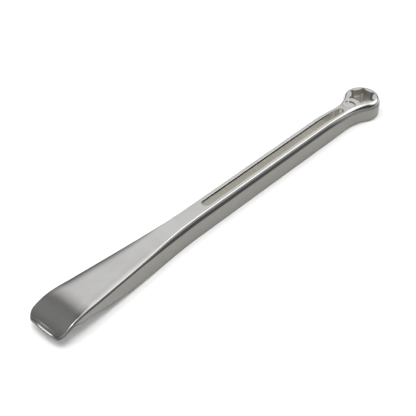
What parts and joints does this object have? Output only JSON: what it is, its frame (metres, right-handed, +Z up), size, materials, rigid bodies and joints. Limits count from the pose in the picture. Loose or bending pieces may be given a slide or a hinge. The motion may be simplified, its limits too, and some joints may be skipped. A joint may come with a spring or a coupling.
{
  "type": "tyre lever with ring spanner",
  "caption": "Forged tyre lever: a flat spoon blade with a curled-down tip at one end, a slotted shank, and a ring spanner with a stepped hexagon at the other.",
  "frame": {"origin": "centre of the length and width, on the plane the tool lies on", "axes": "+X along the tool from the spoon tip to the ring, +Z up through its thickness"},
  "size_m": [0.273, 0.025, 0.0145],
  "materials": {
    "satin_aluminium": "satin"
  },
  "bodies": {
    "root": {"lever_body": "satin_aluminium"}
  },
  "joints": []
}
